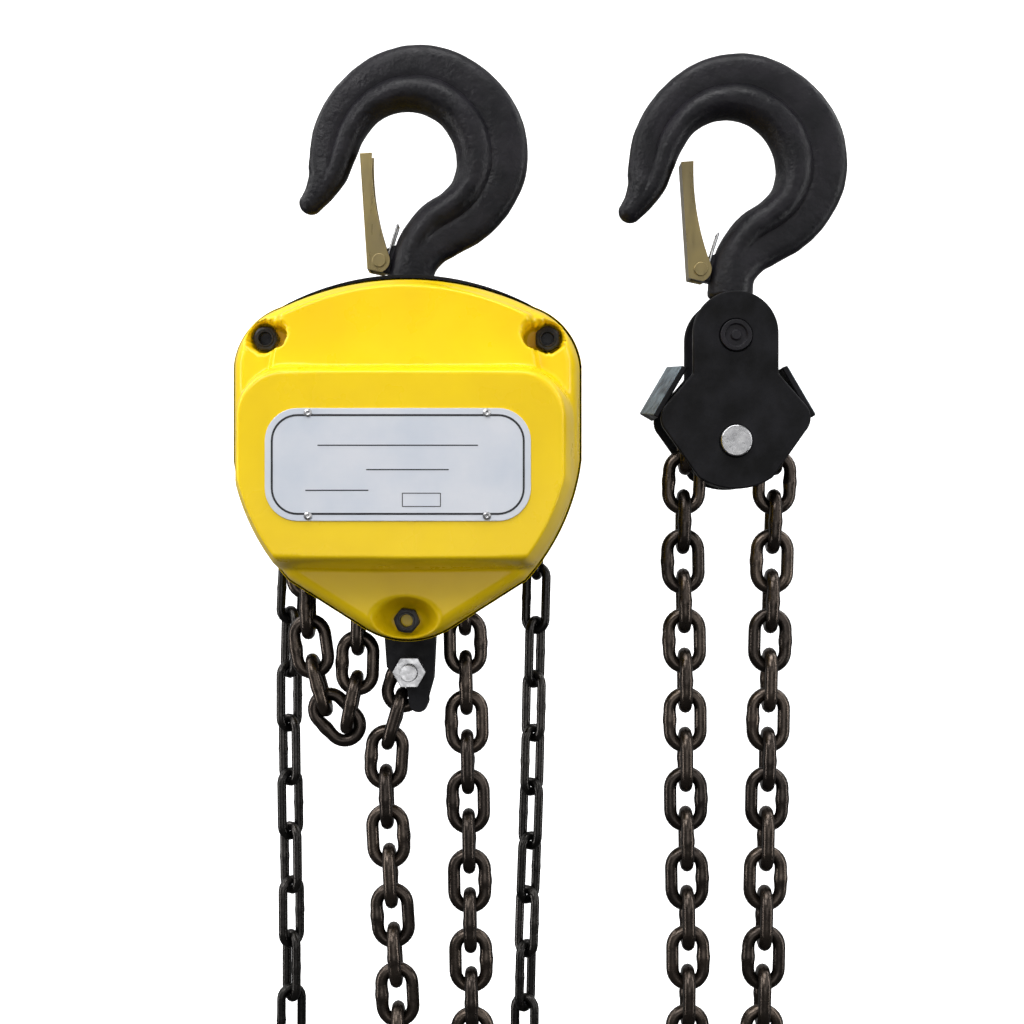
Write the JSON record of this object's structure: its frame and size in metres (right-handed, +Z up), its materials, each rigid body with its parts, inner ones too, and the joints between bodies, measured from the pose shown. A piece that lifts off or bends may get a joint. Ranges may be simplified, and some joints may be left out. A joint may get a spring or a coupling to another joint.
{
  "type": "chain hoist",
  "caption": "Manual chain hoist with a yellow gear housing, a latched top hook and a hook block hung on the falls of its load chain.",
  "frame": {"origin": "centre of the top hook's bowl, in the plane the hooks and chains share", "axes": "+Z up along the top hook's shank, +X to the right seen from the gear cover, +Y from the gear cover to the hand wheel cover"},
  "size_m": [0.2749, 0.1493, 0.5716],
  "materials": {
    "yellow_enamel": "gloss",
    "black_enamel": "satin",
    "black_forging": "satin",
    "black_oxide": "satin",
    "chain_steel": "satin",
    "bright_zinc": "satin",
    "gold_zinc": "satin",
    "machined_steel": "satin",
    "plate_silver": "satin",
    "cast_grey": "matte",
    "bronze_bush": "satin",
    "friction_lining": "matte"
  },
  "bodies": {
    "hoist_frame": {"gear_side_plate": "black_enamel", "wheel_side_plate": "black_enamel", "sheave_bearings": "bronze_bush", "stay_bolts": "black_oxide", "stay_nuts": "black_oxide", "cross_pins": "black_oxide", "yoke_pin": "machined_steel", "chain_stripper": "machined_steel", "chain_anchor_bracket": "black_enamel", "anchor_bolt": "bright_zinc", "anchor_nut": "bright_zinc", "gear_cover": "yellow_enamel", "hand_wheel_cover": "yellow_enamel", "nameplate": "plate_silver", "nameplate_rivets": "bright_zinc", "gear_carrier_plate": "machined_steel", "carrier_posts": "machined_steel", "pawl_pins": "machined_steel", "pawl_springs": "machined_steel", "block_plate_front": "black_enamel", "block_plate_rear": "black_enamel", "block_guards": "black_enamel", "idler_pin": "bright_zinc", "load_chain_on_sheave": "chain_steel", "load_chain_on_idler": "chain_steel", "load_chain_inner_loop": "chain_steel", "load_chain_outer_loop": "chain_steel", "load_chain_tail": "chain_steel", "hand_chain": "chain_steel"},
    "guide_roller_left": {"guide_roller_left": "cast_grey"},
    "guide_roller_right": {"guide_roller_right": "cast_grey"},
    "top_yoke": {"top_yoke": "black_forging"},
    "top_hook": {"top_hook": "black_forging", "top_latch_rivet": "gold_zinc", "top_latch_spring": "machined_steel", "top_hook_nut": "machined_steel"},
    "top_latch": {"top_latch": "gold_zinc"},
    "load_sheave": {"load_sheave": "cast_grey", "load_gear": "machined_steel", "snap_ring": "machined_steel"},
    "disc_gear_left": {"disc_gear_left": "machined_steel"},
    "disc_gear_right": {"disc_gear_right": "machined_steel"},
    "drive": {"drive_shaft": "machined_steel", "brake_hub": "machined_steel", "friction_discs": "friction_lining", "hand_wheel": "cast_grey", "wheel_nut": "bright_zinc", "split_pin": "bright_zinc"},
    "ratchet": {"ratchet_disc": "machined_steel"},
    "pawl_upper": {"pawl_upper": "machined_steel"},
    "pawl_lower": {"pawl_lower": "machined_steel"},
    "idler": {"idler_sheave": "cast_grey", "idler_bush": "bronze_bush"},
    "bottom_trunnion": {"bottom_trunnion": "black_forging"},
    "bottom_hook": {"bottom_hook": "black_forging", "bottom_hook_nut": "machined_steel", "bottom_latch_rivet": "gold_zinc", "bottom_latch_spring": "machined_steel"},
    "bottom_latch": {"bottom_latch": "gold_zinc"}
  },
  "joints": [
    {"name": "top_yoke_tilt", "type": "hinge", "parent": "hoist_frame", "child": "top_yoke", "pos_m": [0, 0, -0.09], "axis": [0, 1, 0], "range_deg": [-20, 20]},
    {"name": "top_hook_swivel", "type": "hinge", "parent": "top_yoke", "child": "top_hook", "pos_m": [0, 0, -0.06], "axis": [0, 0, 1], "continuous": true},
    {"name": "top_latch_open", "type": "hinge", "parent": "top_hook", "child": "top_latch", "pos_m": [-0.014, 0, -0.047], "axis": [0, 1, 0], "range_deg": [0, 32], "stiffness_Nm_per_rad": 0.12, "springref_deg": -20.05, "deforming": ["top_latch_spring"]},
    {"name": "hand_wheel_spin", "type": "hinge", "parent": "hoist_frame", "child": "drive", "pos_m": [0, 0, -0.1344], "axis": [0, 1, 0], "continuous": true, "deforming": ["hand_chain", "load_chain_on_sheave", "load_chain_inner_loop", "load_chain_outer_loop", "load_chain_tail"]},
    {"name": "load_sheave_spin", "type": "hinge", "parent": "hoist_frame", "child": "load_sheave", "pos_m": [0, 0, -0.1344], "axis": [0, 1, 0], "continuous": true},
    {"name": "disc_gear_left_spin", "type": "hinge", "parent": "hoist_frame", "child": "disc_gear_left", "pos_m": [-0.033, 0, -0.1344], "axis": [0, 1, 0], "continuous": true},
    {"name": "disc_gear_right_spin", "type": "hinge", "parent": "hoist_frame", "child": "disc_gear_right", "pos_m": [0.033, 0, -0.1344], "axis": [0, 1, 0], "continuous": true},
    {"name": "ratchet_play", "type": "hinge", "parent": "hoist_frame", "child": "ratchet", "pos_m": [0, 0, -0.1344], "axis": [0, 1, 0], "range_deg": [-0.6, 0.6]},
    {"name": "pawl_upper_lift", "type": "hinge", "parent": "hoist_frame", "child": "pawl_upper", "pos_m": [0.01874, 0.0317, -0.10227], "axis": [0, 1, 0], "range_deg": [0, 12], "stiffness_Nm_per_rad": 0.02, "springref_deg": -28.65, "deforming": ["pawl_springs"]},
    {"name": "pawl_lower_lift", "type": "hinge", "parent": "hoist_frame", "child": "pawl_lower", "pos_m": [-0.02501, 0.0317, -0.16194], "axis": [0, 1, 0], "range_deg": [0, 12], "stiffness_Nm_per_rad": 0.02, "springref_deg": -28.65},
    {"name": "guide_roller_left_spin", "type": "hinge", "parent": "hoist_frame", "child": "guide_roller_left", "pos_m": [-0.0435, 0, -0.148], "axis": [0, 1, 0], "continuous": true},
    {"name": "guide_roller_right_spin", "type": "hinge", "parent": "hoist_frame", "child": "guide_roller_right", "pos_m": [0.0435, 0, -0.148], "axis": [0, 1, 0], "continuous": true},
    {"name": "idler_spin", "type": "hinge", "parent": "hoist_frame", "child": "idler", "pos_m": [0.145, 0, -0.1288], "axis": [0, 1, 0], "continuous": true, "deforming": ["load_chain_on_idler"]},
    {"name": "bottom_trunnion_tilt", "type": "hinge", "parent": "hoist_frame", "child": "bottom_trunnion", "pos_m": [0.145, 0, -0.0821], "axis": [0, 1, 0], "range_deg": [-8, 8]},
    {"name": "bottom_hook_swivel", "type": "hinge", "parent": "bottom_trunnion", "child": "bottom_hook", "pos_m": [0.145, 0, -0.064], "axis": [0, 0, 1], "continuous": true},
    {"name": "bottom_latch_open", "type": "hinge", "parent": "bottom_hook", "child": "bottom_latch", "pos_m": [0.131, 0, -0.0509], "axis": [0, 1, 0], "range_deg": [0, 32], "stiffness_Nm_per_rad": 0.12, "springref_deg": -20.05, "deforming": ["bottom_latch_spring"]}
  ],
  "couplings": [
    {"joint": "load_sheave_spin", "follows": "hand_wheel_spin", "ratio": 0.083333},
    {"joint": "disc_gear_left_spin", "follows": "hand_wheel_spin", "ratio": -0.22222},
    {"joint": "disc_gear_right_spin", "follows": "hand_wheel_spin", "ratio": -0.22222}
  ]
}
